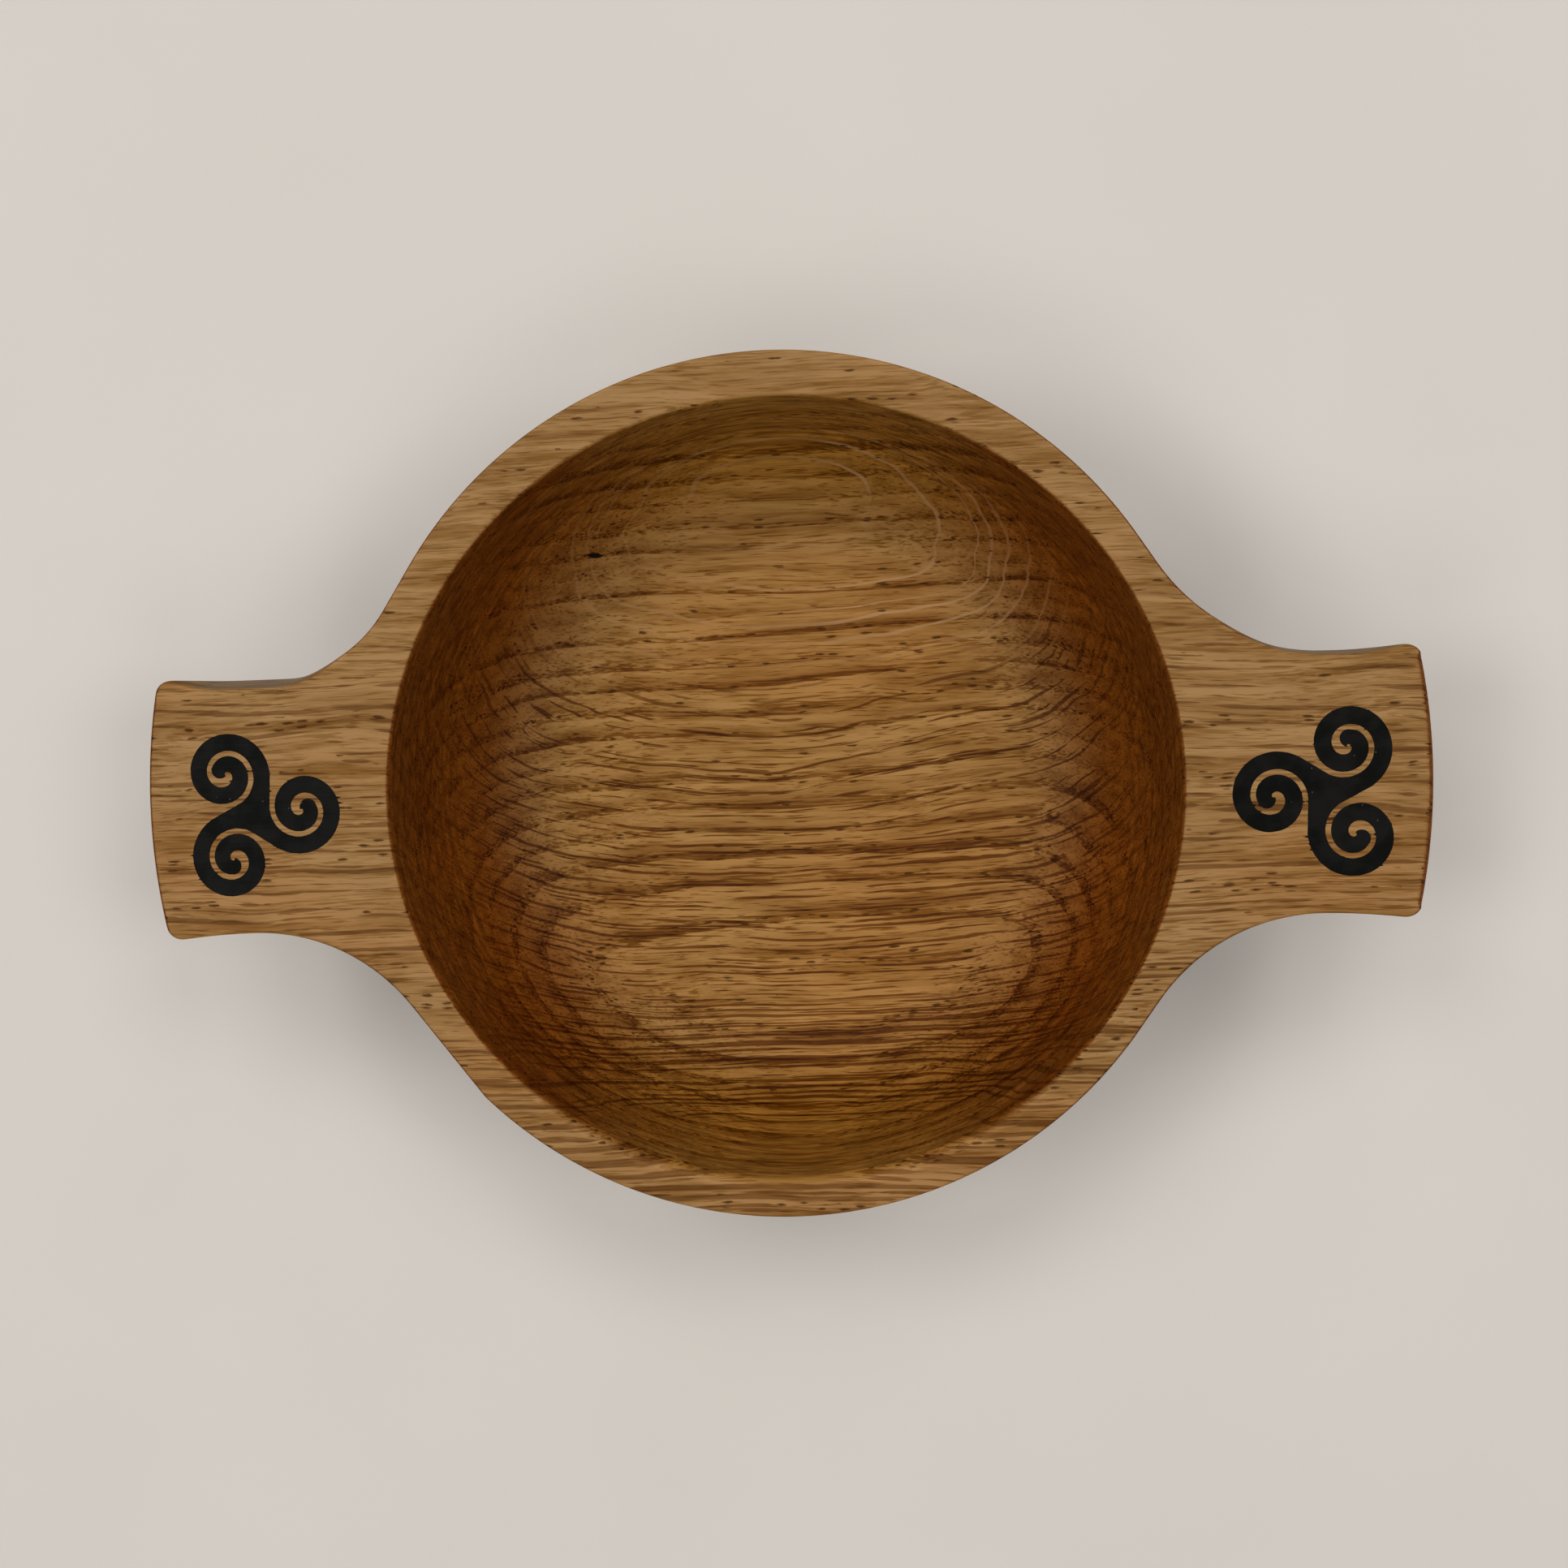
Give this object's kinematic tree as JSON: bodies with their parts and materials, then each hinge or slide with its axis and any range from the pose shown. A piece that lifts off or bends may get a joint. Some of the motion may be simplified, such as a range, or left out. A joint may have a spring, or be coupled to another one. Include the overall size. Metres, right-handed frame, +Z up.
{
  "type": "quaich",
  "caption": "Shallow round oak drinking bowl on a low foot ring, with a flat lug on either side that carries a black resin triple spiral inlay.",
  "frame": {"origin": "middle of the foot ring's underside, on the surface that the bowl stands on", "axes": "+Z up along the bowl's axis, +X along the lugs, +Y across them"},
  "size_m": [0.17, 0.1145, 0.04],
  "materials": {
    "oak": "oiled, satin",
    "black_resin": "ground flush, satin"
  },
  "bodies": {
    "root": {"quaich_body": "oak", "left_triskele_inlay": "black_resin", "right_triskele_inlay": "black_resin"}
  },
  "joints": []
}
